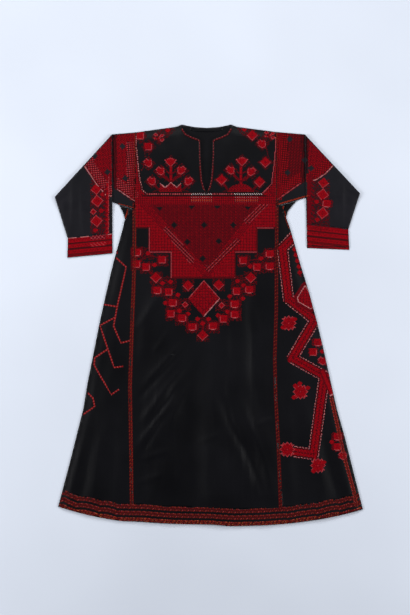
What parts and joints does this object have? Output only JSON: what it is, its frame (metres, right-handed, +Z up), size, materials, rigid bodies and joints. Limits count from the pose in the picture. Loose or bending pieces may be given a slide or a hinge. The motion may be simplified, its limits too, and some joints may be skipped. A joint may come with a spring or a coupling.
{
  "type": "embroidered dress",
  "caption": "Long black dress with a flared skirt, folded-down sleeves and cross-stitched chest, cuffs and hem, laid flat.",
  "frame": {"origin": "on the surface the dress lies on, under the middle of its outline", "axes": "+Y towards the neck, +X to the right as the front is seen, +Z up from the surface, out of the front"},
  "size_m": [1.056, 1.3768, 0.0074],
  "materials": {
    "black_cotton": "soft, slightly lustrous black cotton",
    "red_cross_stitch": "dense crimson cross-stitch",
    "rust_stitched_band": "rows of rust-red stitching"
  },
  "bodies": {
    "root": {"back_panel": "black_cotton", "cuff_left": "red_cross_stitch", "cuff_right": "red_cross_stitch", "front_panel": "black_cotton", "gusset_left": "black_cotton", "gusset_right": "black_cotton", "hem_band": "rust_stitched_band", "neck_binding": "rust_stitched_band", "neck_facing": "black_cotton", "side_back_left": "black_cotton", "side_back_right": "black_cotton", "side_front_left": "black_cotton", "side_front_right": "black_cotton", "sleeve_left": "black_cotton", "sleeve_right": "black_cotton"}
  },
  "joints": []
}
